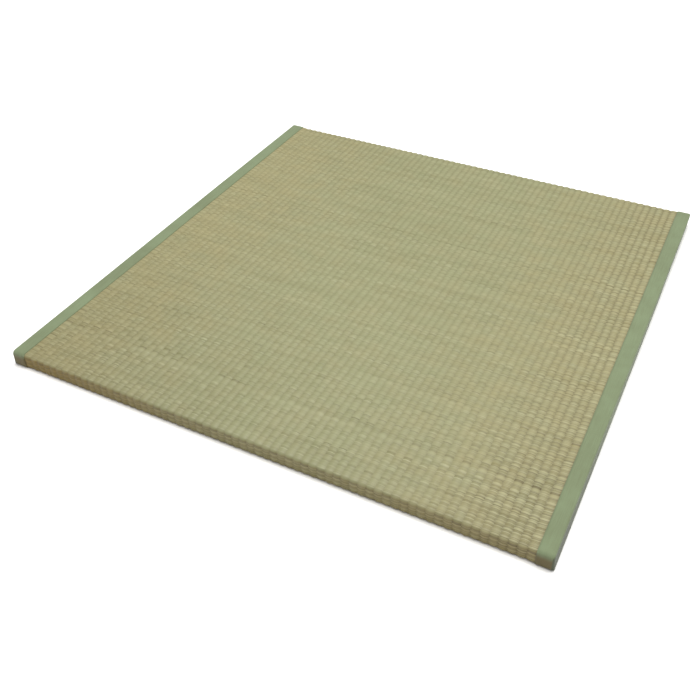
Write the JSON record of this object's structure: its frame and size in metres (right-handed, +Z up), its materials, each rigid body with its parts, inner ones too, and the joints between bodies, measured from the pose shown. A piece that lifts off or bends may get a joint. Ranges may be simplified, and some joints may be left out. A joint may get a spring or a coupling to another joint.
{
  "type": "tatami mat",
  "caption": "Square floor mat of woven rush with raised ribs, folded over front and back edges, with a plain green cloth binding along both sides.",
  "frame": {"origin": "centre of the underside, at the height of the floor that the mat lies on", "axes": "+X across the two bindings, towards the right one; +Y along the bindings and ribs, away from the front edge; +Z up, out of the woven face"},
  "size_m": [0.82, 0.82, 0.025],
  "materials": {
    "rush": "dried rush woven in ribs, straw green with tan patches, slight sheen",
    "binding_cloth": "plain grey-green woven cloth, matte"
  },
  "bodies": {
    "root": {"rush_board": "rush", "binding_left": "binding_cloth", "binding_right": "binding_cloth"}
  },
  "joints": []
}
